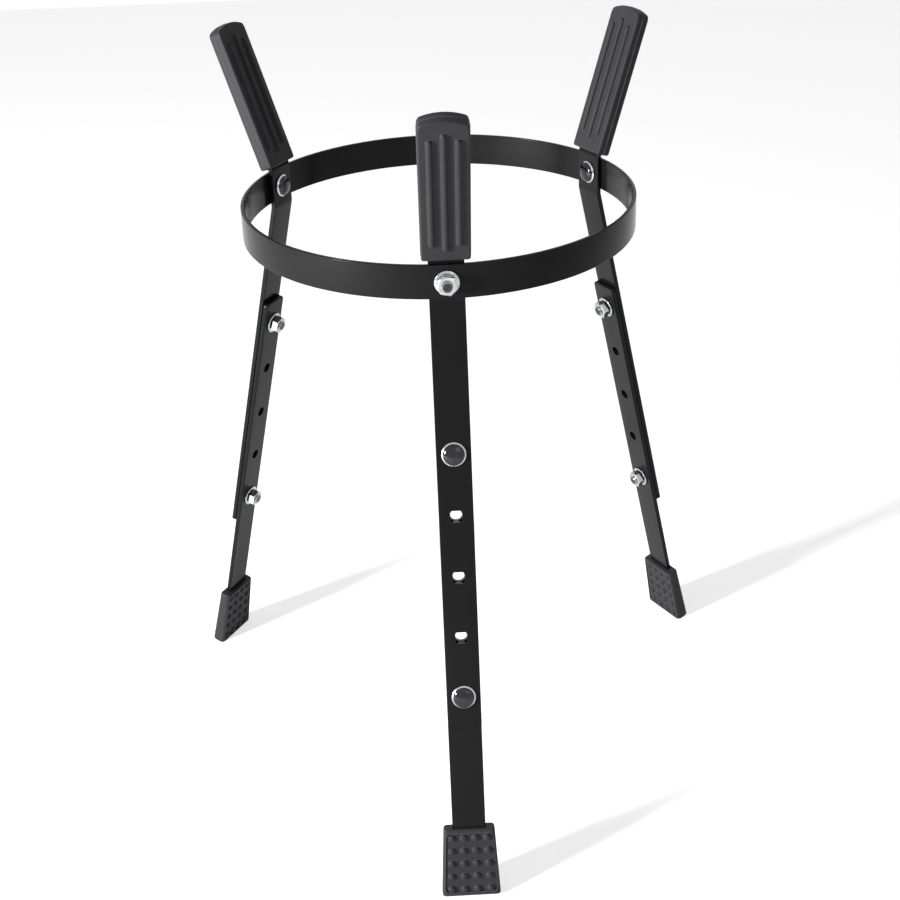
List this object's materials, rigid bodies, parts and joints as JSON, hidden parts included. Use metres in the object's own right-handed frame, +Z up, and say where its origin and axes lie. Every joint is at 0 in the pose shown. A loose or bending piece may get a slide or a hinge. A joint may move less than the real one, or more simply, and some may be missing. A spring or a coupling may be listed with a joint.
{
  "type": "conga stand",
  "caption": "Basket stand for a conga drum: a steel hoop bolted to bent flat-bar struts, with ribbed rubber grips above and adjustable lower legs on rubber feet.",
  "frame": {"origin": "middle of the stand's bounding box in X and Y, on the floor", "axes": "+Z up, -Y towards the front leg; the stand is the same on both sides of X = 0"},
  "size_m": [0.4544, 0.4008, 0.588],
  "materials": {
    "gloss_black_steel": "gloss black powder coat",
    "moulded_rubber": "satin dark grey",
    "dark_plated_steel": "dark nickel plate",
    "zinc_plated_steel": "bright zinc plate"
  },
  "bodies": {
    "hoop": {"ring": "gloss_black_steel"},
    "leg_1": {"strut_1": "gloss_black_steel", "grip_1": "moulded_rubber", "lower_leg_1": "gloss_black_steel", "foot_1": "moulded_rubber", "ring_bolt_1": "dark_plated_steel", "ring_nut_1": "zinc_plated_steel", "upper_bolt_1": "dark_plated_steel", "upper_nut_1": "zinc_plated_steel", "lower_bolt_1": "dark_plated_steel", "lower_nut_1": "zinc_plated_steel"},
    "leg_2": {"strut_2": "gloss_black_steel", "grip_2": "moulded_rubber", "lower_leg_2": "gloss_black_steel", "foot_2": "moulded_rubber", "ring_bolt_2": "dark_plated_steel", "ring_nut_2": "zinc_plated_steel", "upper_bolt_2": "dark_plated_steel", "upper_nut_2": "zinc_plated_steel", "lower_bolt_2": "dark_plated_steel", "lower_nut_2": "zinc_plated_steel"},
    "leg_3": {"strut_3": "gloss_black_steel", "grip_3": "moulded_rubber", "lower_leg_3": "gloss_black_steel", "foot_3": "moulded_rubber", "ring_bolt_3": "dark_plated_steel", "ring_nut_3": "zinc_plated_steel", "upper_bolt_3": "dark_plated_steel", "upper_nut_3": "zinc_plated_steel", "lower_bolt_3": "dark_plated_steel", "lower_nut_3": "zinc_plated_steel"}
  },
  "joints": [
    {"name": "leg_1_swing", "type": "hinge", "parent": "hoop", "child": "leg_1", "pos_m": [0, -0.09575, 0.46127], "axis": [0, -1, 0], "range_deg": [-6, 6]},
    {"name": "leg_2_swing", "type": "hinge", "parent": "hoop", "child": "leg_2", "pos_m": [0.12659, 0.1235, 0.46127], "axis": [0.866, 0.5, 0], "range_deg": [-6, 6]},
    {"name": "leg_3_swing", "type": "hinge", "parent": "hoop", "child": "leg_3", "pos_m": [-0.12659, 0.1235, 0.46127], "axis": [-0.866, 0.5, 0], "range_deg": [-6, 6]}
  ]
}
